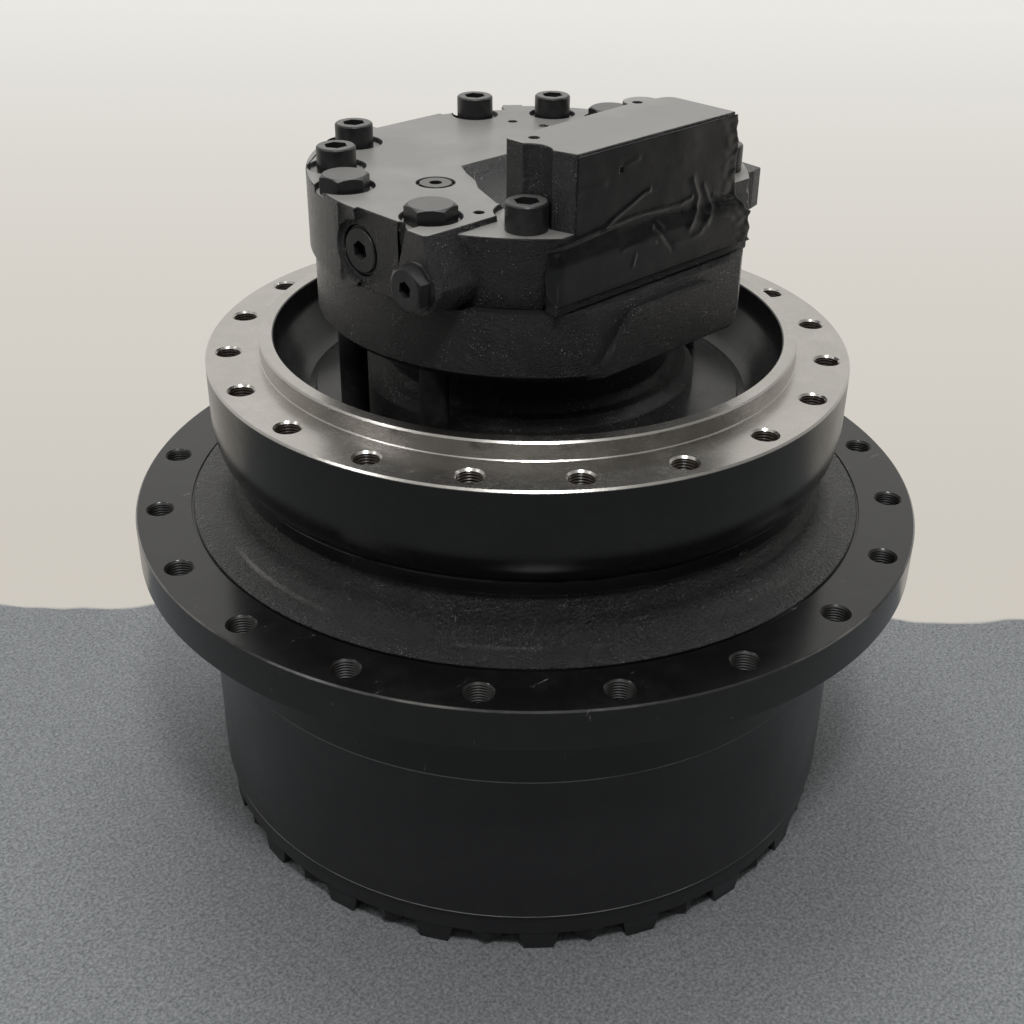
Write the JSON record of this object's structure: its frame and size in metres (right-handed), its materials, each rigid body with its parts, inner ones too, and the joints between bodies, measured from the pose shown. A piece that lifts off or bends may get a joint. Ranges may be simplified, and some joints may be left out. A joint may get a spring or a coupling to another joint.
{
  "type": "excavator final drive",
  "caption": "Travel drive of a crawler excavator: hydraulic motor in a flanged spindle, and a two-stage planetary hub that carries the track sprocket.",
  "frame": {"origin": "centre of the frame flange, on its bright bolting face", "axes": "+Z along the drive's axis, towards the motor; the port face looks along -Y"},
  "size_m": [0.721, 0.721, 0.667],
  "materials": {
    "spindle_casting": "black semi-gloss paint, frame face and spigot turned bright",
    "hub_casting": "black semi-gloss paint over rough casting and turned faces",
    "ring_steel": "smooth black semi-gloss paint",
    "cover_casting": "black semi-gloss paint",
    "motor_casting": "rough casting under black semi-gloss paint, satin machined top",
    "black_screw": "blackened steel, satin",
    "port_film": "thin glossy black film",
    "bright_steel": "ground steel",
    "gear_steel": "case-hardened steel",
    "carrier_iron": "machined cast iron",
    "bronze": "plain bronze",
    "seal_rubber": "matt black rubber"
  },
  "bodies": {
    "frame_side": {"bearing_inner_races": "bright_steel", "bearing_nut": "bright_steel", "bearing_spacer": "bright_steel", "brake_piston": "bright_steel", "brake_steel_plates": "bright_steel", "cap_screws": "black_screw", "carrier_screws": "black_screw", "ear_plug": "black_screw", "motor_bearing_outer_rings": "bright_steel", "motor_bolts": "black_screw", "motor_case": "motor_casting", "motor_cover": "motor_casting", "port_film": "port_film", "seal_ring_fixed": "bright_steel", "seal_toric_fixed": "seal_rubber", "second_planet_pins": "bright_steel", "second_stage_carrier": "carrier_iron", "shaft_seal": "seal_rubber", "spindle": "spindle_casting", "spool_plugs": "black_screw", "swash_plate": "bright_steel", "top_plug": "black_screw", "valve_plate": "bronze"},
    "hub": {"hub": "hub_casting", "ring_gear": "ring_steel", "hub_cover": "cover_casting", "cover_bolts": "black_screw", "cover_bolt_washers": "black_screw", "cover_plugs": "black_screw", "thrust_button": "bronze", "bearing_outer_races": "bright_steel", "seal_ring_turning": "bright_steel", "seal_toric_turning": "seal_rubber"},
    "roller_rows": {"bearing_roller_rows": "bright_steel"},
    "first_carrier": {"first_stage_carrier": "carrier_iron", "first_planet_pins": "bright_steel", "second_sun": "gear_steel"},
    "input_train": {"first_sun_shaft": "gear_steel", "shaft_coupling": "gear_steel", "motor_shaft": "gear_steel", "cylinder_block": "bright_steel", "pistons": "bright_steel", "motor_bearing_inner_rings": "bright_steel", "brake_friction_discs": "bright_steel"},
    "control_spool": {"control_spool": "bright_steel"},
    "second_planet_1": {"second_planet_1": "gear_steel", "second_planet_bush_1": "bronze"},
    "second_planet_2": {"second_planet_2": "gear_steel", "second_planet_bush_2": "bronze"},
    "second_planet_3": {"second_planet_3": "gear_steel", "second_planet_bush_3": "bronze"},
    "second_planet_4": {"second_planet_4": "gear_steel", "second_planet_bush_4": "bronze"},
    "first_planet_1": {"first_planet_1": "gear_steel", "first_planet_bush_1": "bronze"},
    "first_planet_2": {"first_planet_2": "gear_steel", "first_planet_bush_2": "bronze"},
    "first_planet_3": {"first_planet_3": "gear_steel", "first_planet_bush_3": "bronze"}
  },
  "joints": [
    {"name": "hub_turn", "type": "hinge", "parent": "frame_side", "child": "hub", "pos_m": [0, 0, 0], "axis": [0, 0, 1], "continuous": true},
    {"name": "roller_rows_turn", "type": "hinge", "parent": "frame_side", "child": "roller_rows", "pos_m": [0, 0, 0], "axis": [0, 0, 1], "continuous": true},
    {"name": "first_carrier_turn", "type": "hinge", "parent": "frame_side", "child": "first_carrier", "pos_m": [0, 0, 0], "axis": [0, 0, 1], "continuous": true},
    {"name": "input_turn", "type": "hinge", "parent": "frame_side", "child": "input_train", "pos_m": [0, 0, 0], "axis": [0, 0, 1], "continuous": true},
    {"name": "spool_travel", "type": "slide", "parent": "frame_side", "child": "control_spool", "axis": [1, 0, 0], "range_m": [-0.008, 0.008]},
    {"name": "second_planet_turn_1", "type": "hinge", "parent": "frame_side", "child": "second_planet_1", "pos_m": [0.16, 0, 0], "axis": [0, 0, 1], "continuous": true},
    {"name": "second_planet_turn_2", "type": "hinge", "parent": "frame_side", "child": "second_planet_2", "pos_m": [0, 0.16, 0], "axis": [0, 0, 1], "continuous": true},
    {"name": "second_planet_turn_3", "type": "hinge", "parent": "frame_side", "child": "second_planet_3", "pos_m": [-0.16, 0, 0], "axis": [0, 0, 1], "continuous": true},
    {"name": "second_planet_turn_4", "type": "hinge", "parent": "frame_side", "child": "second_planet_4", "pos_m": [0, -0.16, 0], "axis": [0, 0, 1], "continuous": true},
    {"name": "first_planet_turn_1", "type": "hinge", "parent": "first_carrier", "child": "first_planet_1", "pos_m": [0.1351, 0.078, 0], "axis": [0, 0, 1], "continuous": true},
    {"name": "first_planet_turn_2", "type": "hinge", "parent": "first_carrier", "child": "first_planet_2", "pos_m": [-0.1351, 0.078, 0], "axis": [0, 0, 1], "continuous": true},
    {"name": "first_planet_turn_3", "type": "hinge", "parent": "first_carrier", "child": "first_planet_3", "pos_m": [0, -0.156, 0], "axis": [0, 0, 1], "continuous": true}
  ],
  "couplings": [
    {"joint": "roller_rows_turn", "follows": "hub_turn", "ratio": 0.53659},
    {"joint": "first_carrier_turn", "follows": "hub_turn", "ratio": -4},
    {"joint": "input_turn", "follows": "hub_turn", "ratio": -26.857},
    {"joint": "second_planet_turn_1", "follows": "hub_turn", "ratio": 2.6667},
    {"joint": "second_planet_turn_2", "follows": "hub_turn", "ratio": 2.6667},
    {"joint": "second_planet_turn_3", "follows": "hub_turn", "ratio": 2.6667},
    {"joint": "second_planet_turn_4", "follows": "hub_turn", "ratio": 2.6667},
    {"joint": "first_planet_turn_1", "follows": "hub_turn", "ratio": 12.8},
    {"joint": "first_planet_turn_2", "follows": "hub_turn", "ratio": 12.8},
    {"joint": "first_planet_turn_3", "follows": "hub_turn", "ratio": 12.8}
  ]
}
